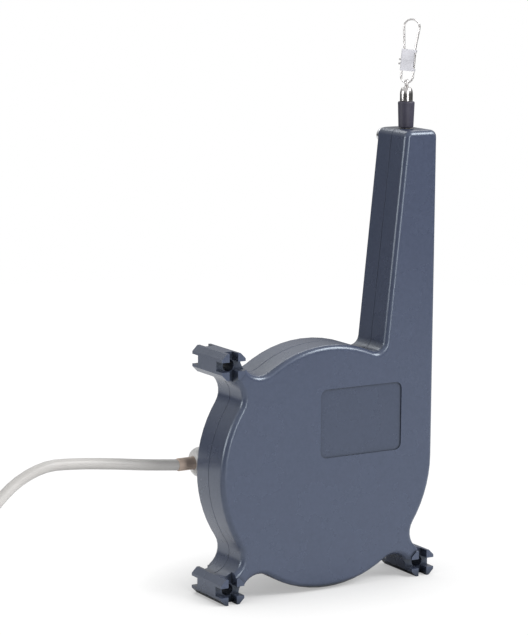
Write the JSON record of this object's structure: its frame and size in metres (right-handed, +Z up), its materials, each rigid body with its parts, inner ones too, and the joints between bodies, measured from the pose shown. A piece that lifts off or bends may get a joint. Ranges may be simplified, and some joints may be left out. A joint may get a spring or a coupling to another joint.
{
  "type": "draw wire encoder",
  "caption": "Draw-wire encoder: flat round drum case with a tall wire neck, swivel snap hook on the wire, rear rotary sensor and a trailing signal cable.",
  "frame": {"origin": "on the floor under the drum axis, midway between the front of the feet and the rear cover", "axes": "+X right and +Y to the rear as seen from the front face, +Z up along the measuring wire"},
  "size_m": [0.2259, 0.0644, 0.202],
  "materials": {
    "case_plastic": "satin moulded glass-filled plastic",
    "sensor_plastic": "matt moulded plastic",
    "screw_steel": "bright zinc",
    "bearing_steel": "ground",
    "shaft_steel": "ground",
    "clip_steel": "oiled",
    "drum_plastic": "natural acetal",
    "spring_steel": "blued",
    "wire_steel": "coated stranded wire",
    "guide_ceramic": "glazed",
    "wiper_felt": "felt",
    "ferrule_brass": "plain",
    "bumper_rubber": "matt",
    "snap_chrome": "bright nickel",
    "clip_plate": "bright stamped",
    "holder_brass": "turned",
    "magnet_nickel": "nickel plated",
    "board_green": "solder mask",
    "chip_black": "moulded",
    "seal_rubber": "matt",
    "gland_grey": "light grey polyamide",
    "sleeve_beige": "soft",
    "cable_jacket": "light grey jacket",
    "tie_black": "nylon",
    "conductor_pvc": "coloured insulation",
    "ferrule_tin": "tinned"
  },
  "bodies": {
    "housing": {"front_shell": "case_plastic", "rear_shell": "case_plastic", "case_screws": "screw_steel", "front_bearing": "bearing_steel", "rear_bearing": "bearing_steel", "wire_guide": "guide_ceramic", "wire_wiper": "wiper_felt", "sensor_housing": "sensor_plastic", "sensor_housing_screws": "screw_steel", "sensor_board": "board_green", "hall_sensor": "chip_black", "board_screws": "screw_steel", "cover_seal": "seal_rubber", "sensor_cover": "sensor_plastic", "cover_screws": "screw_steel", "gland_body": "gland_grey", "gland_seal": "seal_rubber", "gland_nut": "gland_grey", "cable_sleeve": "sleeve_beige", "signal_cable": "cable_jacket", "cable_coil": "cable_jacket", "cable_tie": "tie_black", "cable_tail": "cable_jacket", "conductors": "conductor_pvc", "ferrules": "ferrule_tin"},
    "drum": {"drum_shaft": "shaft_steel", "shaft_circlip": "clip_steel", "cable_drum": "drum_plastic", "power_spring": "spring_steel", "wire_winding": "wire_steel", "magnet_holder": "holder_brass", "sensor_magnet": "magnet_nickel"},
    "wire_end": {"measuring_wire": "wire_steel", "wire_ferrule": "ferrule_brass", "bumper": "bumper_rubber", "swivel_barrel": "snap_chrome"},
    "swivel": {"swivel_eye": "snap_chrome"},
    "snap": {"snap_wire": "snap_chrome", "snap_clip": "clip_plate"}
  },
  "joints": [
    {"name": "drum_spin", "type": "hinge", "parent": "housing", "child": "drum", "pos_m": [0, -0.0109, 0.0447], "axis": [0, -1, 0], "range_deg": [0, 3600]},
    {"name": "wire_pull", "type": "slide", "parent": "housing", "child": "wire_end", "axis": [0, 0, 1], "range_m": [0, 2.3], "stiffness_N_per_m": 1.8, "springref_m": -2.8, "deforming": ["measuring_wire"]},
    {"name": "swivel_spin", "type": "hinge", "parent": "wire_end", "child": "swivel", "pos_m": [0.0366, -0.0109, 0.179], "axis": [0, 0, 1], "continuous": true},
    {"name": "snap_swing", "type": "hinge", "parent": "swivel", "child": "snap", "pos_m": [0.0366, -0.0109, 0.18005], "axis": [0.515, 0.8572, 0], "range_deg": [-40, 35]}
  ],
  "couplings": [
    {"joint": "wire_pull", "follows": "drum_spin", "m_per_rad": 0.0366}
  ]
}
